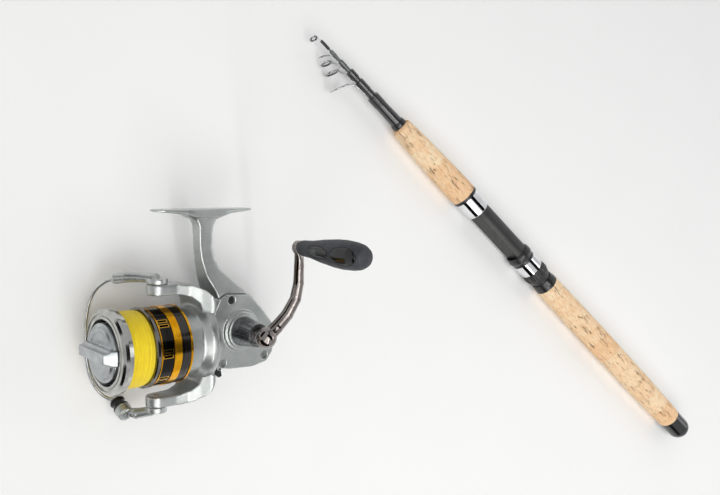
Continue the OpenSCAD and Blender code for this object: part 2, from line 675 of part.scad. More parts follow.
// ---- shaft, oscillation and spool ----
module main_shaft() {
    color("#cfd2d4") at_reel() bar_x(-21.4, 72, shaft_r, shaft_r);
}
module oscillation_slider() {
    color("#6b6f73") at_reel() difference() {
        plate_y([[-21.4, -12], [-17.2, -12], [-17.2, 2.7], [-21.4, 2.7]], -2.4, 2.4);
        bar_x(-30, -10, shaft_r, shaft_r);
        translate([-30, 0, worm_z]) rotate([0, 90, 0]) cylinder(h = 20, r = 2.15);
    }
}
module worm_shaft() {
    color("#b5a06a") at_reel() translate([0, 0, worm_z]) {
        difference() {
            bar_x(-36, 14.4, 1.9, 1.9);
            for (i = [0 : 12]) translate([-32 + i * 3, 0, 0]) tube_x(0, 0.9, 2.2, 1.4);
        }
        bar_x(8.8, 11.4, 4.5, 4.5);
        for (i = [0 : worm_teeth - 1])
            rotate([(i + 0.25) * 360 / worm_teeth, 0, 0]) tooth_x(4.5, 6.1, 8.8, 11.4);
    }
}
module spool() {
    slots = 8;
    color("#54524f") at_reel() difference() {
        lathe_x([[0, 46], [21.6, 46], [21.6, skirt_x], [23.2, skirt_x], [23.4, skirt_x + 1.6],
            [23.4, flange_x - 0.5], [23.9, flange_x + 0.5], [23.9, line_x - 0.6], [23.3, line_x],
            [14, line_x], [14, line_x + line_w], [23.6, line_x + line_w], [24.6, line_x + line_w + 0.6],
            [lip_r, 70], [lip_r, 72.2], [lip_r - 1.2, 73.5], [lip_r - 2.6, lip_front], [lip_r - 2.8, 73.2],
            [lip_r - 3.9, 73.2], [lip_r - 4.1, 73.8], [0, 73.8]]);
        bar_x(40, 80, shaft_r + 0.05, shaft_r + 0.05);
        bar_x(59, 80, 12.2, 12.2);
        translate([69, 0, 0]) rotate([0, 90, 0]) cylinder(h = 6, r1 = 17.6, r2 = 19.8);
        for (i = [0 : slots - 1], k = [-1, 1])
            rotate([i * 360 / slots + k * 4, 0, 0]) translate([42.6, -0.7, 20]) cube([5.6, 1.4, 6]);
    }
}
module spool_bands() {
    color("#f2b01e") at_reel() {
        tube_x(skirt_x + 0.2, skirt_x + 1.4, 23.75, 23.45);
        tube_x(36.5, 41.3, 23.75, 23.4);
        tube_x(49.0, flange_x - 0.5, 23.75, 23.4);
    }
}
module wound_line() {
    color("#f2de1e") at_reel() difference() {
        lathe_x([[0, line_x + 0.05], [21.9, line_x + 0.05], [22.5, line_x + 1.5], [22.7, line_x + 7],
            [22.4, line_x + line_w - 1.5], [21.8, line_x + line_w - 0.05], [0, line_x + line_w - 0.05]]);
        bar_x(line_x - 1, line_x + line_w + 1, 14, 14);
    }
}
module drag_knob() {
    color("#c4c7c8") at_reel() difference() {
        union() {
            lathe_x([[0, 69.4], [17.2, 69.4], [17.2, 74.7], [16.7, 75.2], [15.8, 75.2], [15.5, 74.7], [14.8, 74.7],
                [14.5, 75.8], [14, 76.2], [13.2, 76], [11.8, 75.3], [0, 74.5]]);
            difference() {
                intersection() {
                    bar_x(74.1, 81.5, 19.2, 15.4);
                    translate([73, -20, -4.4]) cube([12, 40, 8.8]);
                }
                for (side = [-1, 1]) translate([80.6, 0, side * 7]) rotate([90, 0, 0])
                    cylinder(h = 44, r = 4, center = true);
            }
        }
        bar_x(68, 72.6, shaft_r + 0.05, shaft_r + 0.05);
    }
}
module drag_washers() {
    color("#8d8f90") at_reel() for (i = [0 : 4])
        tube_x(59.1 + i * 1.1, 60.0 + i * 1.1, i % 2 == 0 ? 11.8 : 10.8, shaft_r + 0.1);
}
module drag_spring() {
    color("#a8abad") at_reel() difference() {
        tube_x(64.8, 69.2, 5.5, 3.9);
        for (i = [0 : 2]) tube_x(65.5 + i * 1.3, 66.1 + i * 1.3, 6, 4.6);
    }
}

base_blank();
base_wrap();
butt_cap();
rear_grip();
rear_collar();
seat_barrel();
front_hood();
rear_check();
foregrip();
front_check();
hood_lip();
hood_ring();
seat_nut();
section(0);  // section_2
guide_frame(0);  // guide_5_frame
guide_ring(0);  // guide_5_ring
section(1);  // section_3
guide_frame(1);  // guide_4_frame
guide_ring(1);  // guide_4_ring
section(2);  // section_4
guide_frame(2);  // guide_3_frame
guide_ring(2);  // guide_3_ring
section(3);  // section_5
guide_frame(3);  // guide_2_frame
guide_ring(3);  // guide_2_ring
tip_section();
tip_top_frame();
tip_top_ring();
reel_frame();
side_cover();
body_screws();
drive_bearings();
pinion_bearing();
roller_clutch();
anti_reverse_lever();
drive_gear();
drive_sleeve();
crank_arm();
knob_spindle();
handle_knob();
knob_panels();
rotor();
rotor_nut();
pinion();
bail_arm();
bail_wire();
roller_arm();
line_roller();
roller_screw();
main_shaft();
oscillation_slider();
worm_shaft();
spool();
spool_bands();
wound_line();
drag_knob();
drag_washers();
drag_spring();
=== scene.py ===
"""Fishing rod with a spinning reel beside it: looks, light and camera round the CAD frame."""

import json
import math

import bmesh
import bpy
from mathutils import Matrix, Vector


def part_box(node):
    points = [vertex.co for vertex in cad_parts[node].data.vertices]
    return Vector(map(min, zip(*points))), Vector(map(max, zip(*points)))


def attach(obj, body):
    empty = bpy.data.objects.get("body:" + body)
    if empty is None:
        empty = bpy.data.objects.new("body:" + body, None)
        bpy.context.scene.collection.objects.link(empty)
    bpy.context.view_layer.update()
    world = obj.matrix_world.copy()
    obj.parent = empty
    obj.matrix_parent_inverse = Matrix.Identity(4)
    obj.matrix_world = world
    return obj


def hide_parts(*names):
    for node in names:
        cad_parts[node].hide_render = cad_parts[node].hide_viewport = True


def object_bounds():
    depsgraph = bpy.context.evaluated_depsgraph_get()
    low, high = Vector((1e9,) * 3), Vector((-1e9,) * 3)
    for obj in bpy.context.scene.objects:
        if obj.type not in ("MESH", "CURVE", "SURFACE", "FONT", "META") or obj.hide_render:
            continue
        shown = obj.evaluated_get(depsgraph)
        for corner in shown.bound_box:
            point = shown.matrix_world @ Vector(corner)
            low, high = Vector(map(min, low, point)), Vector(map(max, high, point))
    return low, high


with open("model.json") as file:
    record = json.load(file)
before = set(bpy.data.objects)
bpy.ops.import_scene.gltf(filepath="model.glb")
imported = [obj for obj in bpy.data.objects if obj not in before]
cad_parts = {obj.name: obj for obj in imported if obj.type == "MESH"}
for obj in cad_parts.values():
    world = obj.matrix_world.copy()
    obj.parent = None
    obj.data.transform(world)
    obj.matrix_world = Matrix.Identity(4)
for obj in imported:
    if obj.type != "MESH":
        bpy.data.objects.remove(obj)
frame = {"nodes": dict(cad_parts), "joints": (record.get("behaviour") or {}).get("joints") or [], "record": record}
cad_low, cad_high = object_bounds()

MM = 0.001
BODIES = frame["record"]["behaviour"]["bodies"]
BODY_OF = {node: body for body, nodes in BODIES.items() for node in nodes}
JOINTS = {joint["name"]: joint for joint in frame["joints"]}

# The bail's pivot along the spool axis, its closed angle, and its route, in mm, as in part.scad.
PIVOT_X = 40.0
BAIL_TURN = -55.0
WIRE_R = 0.9
WIRE_ROUTE = [(27.0, 0.0, 38.2), (33.5, 0.0, 36.0), (39.6, 0.0, 31.0), (44.2, 0.0, 23.0), (46.4, 0.0, 12.0),
              (46.8, 0.0, 0.0), (46.2, 0.0, -12.0), (43.8, 0.0, -23.0), (39.2, -0.8, -31.5), (33.9, -2.6, -36.2)]
ROLLER_CENTRE = (25.4, -2.0, -39.6)
ROLLER_AXIS = (-0.756, 0.508, -0.413)

# The handle's axis along the spool axis, in mm.
DRIVE_X = -11.5

# The wound line's place along the spool axis, in mm.
LINE_X = 52.6
LINE_W = 14.2
STRAND = 0.36

# Where the rod's tip section ends along X, and the small tube on it, in mm.
TIP_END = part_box("tip_section")[1].x / MM
TIP_TUBE_LENGTH = 8.5

# The spool's bands along its axis, from its rear edge, and the radius of its skirt, in mm.
REAR_BAND = (30.5, 36.6)
SLOT_BAND = (41.2, 49.2)
SLOT_EDGE = (42.1, 48.7)
SLOT_FLOOR = (42.0, 48.8)
LIP_BAND = (67.0, 80.0)
SKIRT_R = (22.6, 22.8)
SLOT_R = (23.2, 23.35)

# Lengths of cork in the grips, the handle's flutes in half a turn, and the camera.
CORK_LENGTH = 19.0
FLUTES = 12
LENS_MM = 40.5
CAMERA_PLACE = (0.2748, 0.2887, 0.5075)
CAMERA_AXES = ((-0.6724, -0.5675, 0.4751), (0.6617, -0.7486, 0.0423), (0.3317, 0.3429, 0.8789))


# ---- places ----
def reel_matrix():
    """The reel's own frame: X along the spool axis, Y to the crank side, Z to the foot."""
    forward = Vector(JOINTS["rotor_spin"]["axis"]).normalized()
    across = Vector(JOINTS["handle_turn"]["axis"]).normalized()
    upward = forward.cross(across).normalized()
    matrix = Matrix((forward, across, upward)).transposed().to_4x4()
    matrix.translation = Vector(JOINTS["rotor_spin"]["pos_m"])
    return matrix


REEL = reel_matrix()
BAIL = REEL @ Matrix.Translation((PIVOT_X * MM, 0, 0)) @ Matrix.Rotation(math.radians(BAIL_TURN), 4, "Z")


def linear(code):
    """An sRGB hex colour as a linear RGBA list."""
    parts = [int(code[i:i + 2], 16) / 255 for i in (1, 3, 5)]
    return [v / 12.92 if v <= 0.04045 else ((v + 0.055) / 1.055) ** 2.4 for v in parts] + [1.0]


# ---- material kit ----
class Look:
    """One procedural material, built from a few kinds of node."""

    def __init__(self, name, metal=0.0, coat=0.0, coat_rough=0.05, specular=0.5):
        self.material = bpy.data.materials.new(name)
        self.material.use_nodes = True
        self.nodes = self.material.node_tree.nodes
        self.links = self.material.node_tree.links
        self.shader = self.nodes["Principled BSDF"]
        self.height = None
        for socket, value in (("Metallic", metal), ("Coat Weight", coat),
                              ("Coat Roughness", coat_rough), ("Specular IOR Level", specular)):
            self.shader.inputs[socket].default_value = value

    def add(self, kind, inputs, **settings):
        node = self.nodes.new("ShaderNode" + kind)
        for key, value in settings.items():
            setattr(node, key, value)
        for socket, value in inputs.items():
            if isinstance(value, bpy.types.NodeSocket):
                self.links.new(value, node.inputs[socket])
            else:
                node.inputs[socket].default_value = value
        return node

    def place(self, where="rod", stretch=(1.0, 1.0, 1.0)):
        """Millimetres in the row frame, or in the reel's own frame, stretched per axis."""
        into = REEL.inverted() if where == "reel" else Matrix.Identity(4)
        shift = into.translation / MM
        spot = self.add("Mapping", {"Vector": self.add("TexCoord", {}).outputs["Object"], "Location": shift,
                                    "Rotation": into.to_euler("XYZ"), "Scale": (1 / MM,) * 3}).outputs[0]
        return self.add("VectorMath", {0: spot, 1: stretch}, operation="MULTIPLY").outputs[0]

    def noise(self, spot, size, detail=3.0, rough=0.55):
        return self.add("TexNoise", {"Vector": spot, "Scale": 1 / size, "Detail": detail,
                                     "Roughness": rough}).outputs["Fac"]

    def cells(self, spot, size, feature="F1"):
        return self.add("TexVoronoi", {"Vector": spot, "Scale": 1 / size}, feature=feature).outputs["Distance"]

    def axis(self, spot, letter):
        return self.add("SeparateXYZ", {"Vector": spot}).outputs[letter.upper()]

    def radius(self, spot):
        """The distance from the X axis."""
        side, up = self.axis(spot, "y"), self.axis(spot, "z")
        squares = self.calc("ADD", self.calc("MULTIPLY", side, side), self.calc("MULTIPLY", up, up))
        return self.calc("SQRT", squares)

    def calc(self, operation, first, second=0.0):
        return self.add("Math", {0: first, 1: second}, operation=operation).outputs[0]

    def remap(self, value, low, high, to_low=0.0, to_high=1.0):
        return self.add("MapRange", {"Value": value, "From Min": low, "From Max": high,
                                     "To Min": to_low, "To Max": to_high}).outputs["Result"]

    def between(self, value, low, high, edge=0.05):
        """1 inside a range and 0 outside it, with soft ends."""
        rise = self.remap(value, low - edge, low + edge)
        fall = self.remap(value, high - edge, high + edge, 1.0, 0.0)
        return self.calc("MULTIPLY", rise, fall)

    def mix(self, amount, first, second):
        shades = [linear(c) if isinstance(c, str) else c for c in (first, second)]
        return self.add("MixRGB", {"Fac": amount, "Color1": shades[0], "Color2": shades[1]}).outputs["Color"]

    def random(self, value):
        return self.add("TexWhiteNoise", {"W": value}, noise_dimensions="1D").outputs["Value"]

    def paint(self, colour=None, rough=None, metal=None):
        for socket, value in (("Base Color", colour), ("Roughness", rough), ("Metallic", metal)):
            if value is not None:
                self.links.new(value, self.shader.inputs[socket])

    def relief(self, height, depth, strength=1.0):
        """Adds a height, with its depth in mm, on top of any relief already there."""
        inputs = {"Height": height, "Distance": depth * MM, "Strength": strength}
        if self.height is not None:
            inputs["Normal"] = self.height
        self.height = self.add("Bump", inputs).outputs["Normal"]
        self.links.new(self.height, self.shader.inputs["Normal"])


def plain(name, light, dark, rough, metal=0.0, coat=0.0, coat_rough=0.06, patch=6.0, grain=0.4,
          depth=0.008, where="rod", stretch=(1.0, 1.0, 1.0), wear=None, specular=0.5):
    """Two close tones in soft patches, uneven gloss, fine relief and, if asked, rubbed edges."""
    look = Look(name, metal, coat, coat_rough, specular)
    spot = look.place(where, stretch)
    patches = look.remap(look.noise(spot, patch), 0.35, 0.65)
    fine = look.noise(spot, grain, 2.0)
    colour = look.mix(patches, light, dark)
    if wear:
        edges = look.remap(look.add("NewGeometry", {}).outputs["Pointiness"], 0.515, 0.56, 0.0, 0.6)
        rubbed = look.calc("MULTIPLY", edges, look.remap(look.noise(spot, 3.0), 0.4, 0.6))
        colour = look.mix(rubbed, colour, wear)
    smudges = look.calc("MULTIPLY", look.remap(look.noise(spot, patch * 2, 4.0), 0.3, 0.7), 0.5)
    uneven = look.calc("ADD", smudges, look.calc("MULTIPLY", fine, 0.5))
    look.paint(colour, look.remap(uneven, 0.2, 0.8, rough[0], rough[1]))
    look.relief(fine, depth)
    return look


# ---- materials of the rod ----
def cork():
    """Lengths of natural cork with long brown grooves, pits and a faint joint at each end."""
    look = Look("cork", specular=0.35)
    spot = look.place()
    along = look.axis(spot, "x")
    ring = look.calc("DIVIDE", along, CORK_LENGTH)
    tone = look.random(look.calc("FLOOR", ring))
    clouds = look.noise(spot, 5.0, 5.0)
    colour = look.mix(look.remap(clouds, 0.35, 0.65), "#ffe8c4", "#fad6ab")
    colour = look.mix(look.remap(tone, 0.35, 1.0, 0.0, 0.6), colour, "#f0bb88")
    grain = look.noise(look.place(stretch=(0.16, 1.0, 1.0)), 0.9, 4.0, 0.65)
    colour = look.mix(look.remap(grain, 0.52, 0.7, 0.0, 0.7), colour, "#cc9060")
    strokes = look.noise(look.place(stretch=(0.12, 1.0, 1.0)), 0.6, 2.0)
    colour = look.mix(look.remap(strokes, 0.62, 0.7, 0.0, 0.6), colour, "#a8703f")
    long_spot = look.place(stretch=(0.085, 1.0, 1.0))
    bands = look.noise(long_spot, 2.3, 2.0)
    lines = look.calc("ABSOLUTE", look.calc("SUBTRACT", bands, 0.5))
    groove = look.remap(lines, 0.006, 0.03, 1.0, 0.0)
    gate = look.remap(look.noise(look.place(stretch=(0.4, 1.0, 1.0)), 5.0, 2.0), 0.53, 0.58)
    groove = look.calc("MULTIPLY", groove, gate)
    pits = look.remap(look.cells(look.place(stretch=(0.55, 1.0, 1.0)), 2.4), 0.05, 0.16, 1.0, 0.0)
    pits = look.calc("MULTIPLY", pits, look.remap(look.noise(spot, 4.0), 0.5, 0.56))
    joint = look.calc("ABSOLUTE", look.calc("SUBTRACT", look.calc("FRACT", ring), 0.5))
    joint = look.remap(joint, 0.485, 0.5, 0.0, 0.3)
    marks = look.calc("MAXIMUM", groove, pits)
    colour = look.mix(joint, colour, "#c08c58")
    colour = look.mix(look.calc("MULTIPLY", marks, 0.9), colour, "#6f4424")
    look.paint(colour, look.remap(grain, 0.3, 0.7, 0.7, 0.9))
    look.relief(look.noise(spot, 0.35, 3.0), 0.03)
    look.relief(marks, -0.18)
    return look


def blank(name, light, dark, tape=1.9):
    """Lacquered graphite tube: fine tape ridges under a glossy coat."""
    look = Look(name, coat=1.0, coat_rough=0.04)
    spot = look.place()
    along = look.axis(spot, "x")
    ridge = look.calc("SINE", look.calc("MULTIPLY", along, 2 * math.pi / tape))
    fleck = look.noise(look.place(stretch=(0.2, 1.0, 1.0)), 0.35, 3.0)
    colour = look.mix(look.remap(fleck, 0.35, 0.7), dark, light)
    colour = look.mix(look.remap(ridge, 0.6, 1.0, 0.0, 0.25), colour, light)
    look.paint(colour, look.remap(fleck, 0.3, 0.7, 0.22, 0.36))
    look.relief(ridge, 0.006)
    return look


def thread_wrap():
    """Close turns of black thread under varnish."""
    look = Look("thread_wrap", coat=0.8, coat_rough=0.08)
    along = look.axis(look.place(), "x")
    turn = look.calc("SINE", look.calc("MULTIPLY", along, 2 * math.pi / 0.4))
    tone = look.random(look.calc("FLOOR", look.calc("DIVIDE", along, 0.4)))
    look.paint(look.mix(tone, "#141416", "#2a2a2d"), look.remap(turn, -1.0, 1.0, 0.45, 0.25))
    look.relief(turn, 0.05)
    return look


def turned(name, light, dark, rough, pitch=0.35, depth=0.004, where="rod", metal=1.0, coat=0.0):
    """Lathe-turned metal: fine rings across the axis and soft patches of tone."""
    look = Look(name, metal=metal, coat=coat)
    spot = look.place(where)
    rings = look.noise(look.place(where, (1.0, 0.01, 0.01)), pitch, 2.0)
    clouds = look.noise(spot, 7.0)
    colour = look.mix(look.remap(clouds, 0.3, 0.7), light, dark)
    uneven = look.calc("ADD", look.calc("MULTIPLY", rings, 0.6), look.calc("MULTIPLY", clouds, 0.4))
    look.paint(colour, look.remap(uneven, 0.3, 0.7, rough[0], rough[1]))
    look.relief(rings, depth)
    return look


def guide_steel():
    """Drawn wire, with the small tube on the rod's tip blackened."""
    look = Look("guide_steel", coat=0.2)
    spot = look.place()
    radius = look.radius(spot)
    along_tube = look.between(look.axis(spot, "x"), TIP_END - TIP_TUBE_LENGTH, TIP_END + 0.6, 0.1)
    tube_part = look.calc("MULTIPLY", along_tube, look.remap(radius, 1.2, 1.4, 1.0, 0.0))
    clouds = look.noise(spot, 3.0)
    rings = look.noise(look.place(stretch=(1.0, 0.01, 0.01)), 0.35, 2.0)
    bare = look.mix(look.remap(clouds, 0.3, 0.7), "#d4d5d7", "#a8a9ab")
    colour = look.mix(tube_part, bare, look.mix(rings, "#141416", "#232326"))
    look.paint(colour, look.remap(rings, 0.3, 0.7, 0.16, 0.3), look.remap(tube_part, 0.0, 1.0, 1.0, 0.2))
    look.relief(rings, 0.004)
    return look


# ---- materials of the reel ----
def flake_paint(name, light, dark, rough):
    """Silver paint with metal flakes under a thin clear coat, paler where edges are rubbed."""
    look = Look(name, metal=0.82, coat=0.35, coat_rough=0.12)
    spot = look.place("reel")
    flakes = look.cells(spot, 0.22)
    clouds = look.noise(spot, 14.0, 3.0)
    colour = look.mix(look.remap(clouds, 0.35, 0.65), light, dark)
    colour = look.mix(look.remap(flakes, 0.1, 0.7, 0.28, 0.0), colour, "#e8ebe8")
    edges = look.remap(look.add("NewGeometry", {}).outputs["Pointiness"], 0.515, 0.57, 0.0, 0.5)
    colour = look.mix(look.calc("MULTIPLY", edges, look.remap(clouds, 0.3, 0.6)), colour, "#dfe2df")
    look.paint(colour, look.remap(look.noise(spot, 2.5, 4.0), 0.3, 0.7, rough[0], rough[1]))
    look.relief(look.noise(spot, 0.5, 2.0), 0.006)
    return look


def fluted_grey_painted_reflections():
    """Grey metal with lengthwise flats round the handle's axis, each flat given a random darker shade: painted
    reflections on the flats.
    """
    look = Look("drive_grey", metal=0.9, coat=0.2)
    spot = look.place("reel")
    angle = look.calc("ARCTAN2", look.axis(spot, "z"), look.calc("SUBTRACT", look.axis(spot, "x"), DRIVE_X))
    flat = look.calc("FLOOR", look.calc("MULTIPLY", look.calc("ADD", angle, 2 * math.pi), FLUTES / math.pi))
    tone = look.random(flat)
    clouds = look.noise(spot, 4.0)
    colour = look.mix(look.remap(clouds, 0.35, 0.65), "#8a8d8f", "#75787a")
    # Each flat's random darker shade is a painted reflection.
    colour = look.mix(look.remap(tone, 0.2, 1.0, 0.0, 0.75), colour, "#393c3e")
    grain = look.noise(look.place("reel", (1.0, 0.05, 1.0)), 0.3, 2.0)
    look.paint(colour, look.remap(grain, 0.3, 0.7, 0.2, 0.34))
    look.relief(grain, 0.006)
    return look


def screw_steel():
    """Dark screws, with the two lower ones plated like the body."""
    look = Look("screw_steel", metal=1.0)
    spot = look.place("reel")
    clouds = look.noise(spot, 2.0)
    dark = look.mix(look.remap(clouds, 0.3, 0.7), "#6a6b6d", "#4c4d4f")
    pale = look.mix(look.remap(clouds, 0.3, 0.7), "#b0b3b2", "#989c9a")
    colour = look.mix(look.remap(look.axis(spot, "z"), 6.0, 9.0), pale, dark)
    grain = look.noise(spot, 0.25, 2.0)
    look.paint(colour, look.remap(grain, 0.3, 0.7, 0.22, 0.36))
    look.relief(grain, 0.005)
    return look


def spool_metal():
    """Polished gunmetal spool with a black band whose slots have gold edges; the band is lighter along its turning
    rings as painted streaky highlights.
    """
    look = Look("spool_gunmetal", metal=1.0, coat=0.2, coat_rough=0.04)
    spot = look.place("reel")
    along = look.axis(spot, "x")
    radius = look.radius(spot)
    angle = look.calc("ARCTAN2", look.axis(spot, "z"), look.axis(spot, "y"))
    rings = look.noise(look.place("reel", (1.0, 0.01, 0.01)), 0.3, 2.0)
    clouds = look.noise(spot, 8.0)
    colour = look.mix(look.remap(clouds, 0.35, 0.65), "#8d8a86", "#6f6c69")
    lip = look.mix(look.remap(clouds, 0.35, 0.65), "#c6c6c2", "#a3a3a0")
    colour = look.mix(look.between(along, *LIP_BAND), colour, lip)
    outer = look.remap(radius, *SKIRT_R)
    band = look.calc("MULTIPLY", look.between(along, *SLOT_BAND), outer)
    # The black band's lighter rings are painted streaky highlights laid along the real turning rings.
    colour = look.mix(band, colour, look.mix(look.remap(rings, 0.4, 0.6), "#1c1b1a", "#2e2c2a"))
    rear = look.calc("MULTIPLY", look.between(along, *REAR_BAND), outer)
    colour = look.mix(rear, colour, look.mix(look.remap(rings, 0.4, 0.6), "#3a3836", "#57534f"))
    turned_angle = look.calc("ADD", angle, 2 * math.pi)
    pair = look.calc("MULTIPLY", look.calc("PINGPONG", turned_angle, math.pi / 8), 180 / math.pi)
    near_slot = look.between(pair, 4.0 - 2.75, 4.0 + 2.75, 0.1)
    edge = look.calc("MULTIPLY", look.calc("MULTIPLY", near_slot, look.between(along, *SLOT_EDGE)), outer)
    inside = look.calc("SUBTRACT", 1.0, look.remap(radius, *SLOT_R))
    colour = look.mix(edge, colour, "#d9a63a")
    colour = look.mix(look.calc("MULTIPLY", inside, look.between(along, *SLOT_FLOOR)), colour, "#191817")
    look.paint(colour, look.remap(rings, 0.3, 0.7, 0.10, 0.2))
    look.relief(rings, 0.005)
    return look


def wound_yarn():
    """Braided line: each turn has its own tone, with the twist of the braid across it."""
    look = Look("line_yellow", specular=0.4)
    look.shader.inputs["Sheen Weight"].default_value = 0.25
    spot = look.place("reel")
    along = look.axis(spot, "x")
    angle = look.calc("ARCTAN2", look.axis(spot, "z"), look.axis(spot, "y"))
    turn = look.calc("FLOOR", look.calc("DIVIDE", along, STRAND))
    tone = look.random(turn)
    colour = look.mix(tone, "#ffe60a", "#f2d200")
    colour = look.mix(look.remap(look.noise(spot, 4.0), 0.45, 0.75, 0.0, 0.35), colour, "#e0bd06")
    layer = look.noise(look.place("reel", (1.0, 0.03, 0.03)), 0.8, 2.0)
    colour = look.mix(look.remap(layer, 0.5, 0.64, 0.0, 0.4), colour, "#dcae00")
    slant = look.calc("ADD", look.calc("MULTIPLY", angle, 320.0), look.calc("MULTIPLY", along, 17.0))
    braid = look.calc("SINE", slant)
    colour = look.mix(look.remap(braid, 0.2, 1.0, 0.0, 0.2), colour, "#fff04a")
    look.paint(colour, look.remap(look.noise(spot, 0.6), 0.3, 0.7, 0.5, 0.7))
    look.relief(braid, 0.02)
    return look


def soft_grip():
    """Soft dark grey rubber with a fine stipple."""
    look = Look("knob_grey", specular=0.4)
    spot = look.place("reel")
    stipple = look.cells(spot, 0.55)
    clouds = look.noise(spot, 6.0)
    look.paint(look.mix(look.remap(clouds, 0.35, 0.65), "#44454b", "#35363b"),
               look.remap(stipple, 0.1, 0.6, 0.42, 0.6))
    look.relief(stipple, 0.02)
    return look


def make_looks():
    looks = {
        "cork": cork(),
        "blank": blank("blank", "#313134", "#19191b"),
        "section_black": blank("section_black", "#2c2c2f", "#151517", 1.6),
        "section_grey": blank("section_grey", "#5c5e61", "#3d3f42", 1.4),
        "thread_wrap": thread_wrap(),
        "butt_rubber": plain("butt_rubber", "#1b1b1d", "#101012", (0.14, 0.26), coat=0.5, grain=0.8),
        "black_collar": plain("black_collar", "#232325", "#161617", (0.25, 0.4), coat=0.3),
        "seat_black": plain("seat_black", "#2f2f2e", "#252524", (0.34, 0.46), grain=0.5, depth=0.012),
        "hood_black": plain("hood_black", "#29292a", "#1d1d1e", (0.26, 0.4), coat=0.2, grain=0.5),
        "hood_chrome": turned("hood_chrome", "#f4f4f6", "#dcdcdf", (0.04, 0.12)),
        "guide_steel": guide_steel(),
        "guide_ceramic": plain("guide_ceramic", "#1f1f22", "#111113", (0.08, 0.16), coat=0.6, grain=0.3),
        "reel_silver": flake_paint("reel_silver", "#b6bab8", "#a0a5a3", (0.28, 0.38)),
        "rotor_silver": flake_paint("rotor_silver", "#b4b8b6", "#9fa3a2", (0.28, 0.38)),
        "bail_silver": flake_paint("bail_silver", "#bbbebc", "#a6a9a8", (0.26, 0.36)),
        "crank_nickel": plain("crank_nickel", "#9a9390", "#7c7572", (0.07, 0.14), metal=1.0, grain=0.6,
                              depth=0.004, where="reel", wear="#c9c4c0"),
        "drive_grey": fluted_grey_painted_reflections(),
        "screw_steel": screw_steel(),
        "bearing_steel": turned("bearing_steel", "#c6c8ca", "#9d9fa1", (0.12, 0.22), where="reel"),
        "gear_zinc": turned("gear_zinc", "#a8aaab", "#88898b", (0.28, 0.42), where="reel"),
        "slider_zinc": turned("slider_zinc", "#9fa1a3", "#7f8183", (0.3, 0.45), where="reel"),
        "brass_part": turned("brass_part", "#d0a552", "#a87f36", (0.18, 0.32), where="reel"),
        "wire_steel": plain("wire_steel", "#d4d6d8", "#b4b6b8", (0.12, 0.2), metal=1.0, grain=0.5,
                            depth=0.004, where="reel"),
        "drag_silver": turned("drag_silver", "#c3c7c8", "#a6aaac", (0.26, 0.4), 0.5, where="reel"),
        "drag_steel": turned("drag_steel", "#b3b5b6", "#8d8f91", (0.22, 0.36), where="reel"),
        "spool_gold": turned("spool_gold", "#ffbe28", "#e79f12", (0.14, 0.24), 0.25, where="reel"),
        "spool_gunmetal": spool_metal(),
        "line_yellow": wound_yarn(),
        "knob_grey": soft_grip(),
        "knob_black": plain("knob_black", "#0d0d10", "#07070a", (0.1, 0.2), coat=0.5, coat_rough=0.05,
                            grain=1.5, depth=0.003, where="reel", specular=0.3),
        "lever_black": plain("lever_black", "#1b1b1d", "#101011", (0.3, 0.44), where="reel"),
        "roller_black": turned("roller_black", "#2d2d30", "#17171a", (0.16, 0.28), where="reel", metal=0.6),
    }
    return {slot: look.material for slot, look in looks.items()}


LOOKS = make_looks()

SLOT_NODES = {
    "blank": ["base_blank", "section_2"],
    "section_black": ["section_3", "tip_section"],
    "section_grey": ["section_4", "section_5"],
    "thread_wrap": ["base_wrap"],
    "butt_rubber": ["butt_cap"],
    "cork": ["rear_grip", "foregrip"],
    "black_collar": ["rear_collar", "rear_check", "front_check"],
    "seat_black": ["seat_barrel", "seat_nut"],
    "hood_black": ["hood_lip"],
    "hood_chrome": ["front_hood", "hood_ring"],
    "guide_steel": ["guide_5_frame", "guide_4_frame", "guide_3_frame", "guide_2_frame", "tip_top_frame"],
    "guide_ceramic": ["guide_5_ring", "guide_4_ring", "guide_3_ring", "guide_2_ring", "tip_top_ring"],
    "reel_silver": ["reel_frame", "side_cover"],
    "screw_steel": ["body_screws", "roller_screw"],
    "bearing_steel": ["drive_bearings", "pinion_bearing", "roller_clutch", "main_shaft", "knob_spindle"],
    "lever_black": ["anti_reverse_lever"],
    "gear_zinc": ["drive_gear"],
    "drive_grey": ["drive_sleeve"],
    "crank_nickel": ["crank_arm"],
    "knob_grey": ["handle_knob"],
    "knob_black": ["knob_panels"],
    "rotor_silver": ["rotor"],
    "brass_part": ["rotor_nut", "pinion", "worm_shaft"],
    "bail_silver": ["bail_arm", "roller_arm"],
    "wire_steel": ["bail_wire"],
    "roller_black": ["line_roller"],
    "slider_zinc": ["oscillation_slider"],
    "spool_gunmetal": ["spool"],
    "spool_gold": ["spool_bands"],
    "line_yellow": ["wound_line"],
    "drag_silver": ["drag_knob"],
    "drag_steel": ["drag_washers", "drag_spring"],
}


def dress(piece, slot):
    piece.data.materials.clear()
    piece.data.materials.append(LOOKS[slot])


def dress_frame():
    for slot, nodes in SLOT_NODES.items():
        for node in nodes:
            dress(frame["nodes"][node], slot)


# ---- mesh helpers ----
def new_piece(name, mesh, slot, *nodes):
    """Links a piece, gives it its material and puts it in the place of its CAD nodes."""
    piece = bpy.data.objects.new(name, mesh)
    bpy.context.scene.collection.objects.link(piece)
    for face in mesh.polygons:
        face.use_smooth = True
    dress(piece, slot)
    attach(piece, BODY_OF[nodes[0]])
    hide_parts(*nodes)
    return piece


def welded(node):
    """A copy of a CAD node's mesh with its split corners joined."""
    mesh = frame["nodes"][node].data.copy()
    work = bmesh.new()
    work.from_mesh(mesh)
    bmesh.ops.remove_doubles(work, verts=work.verts, dist=0.002 * MM)
    work.to_mesh(mesh)
    work.free()
    return mesh


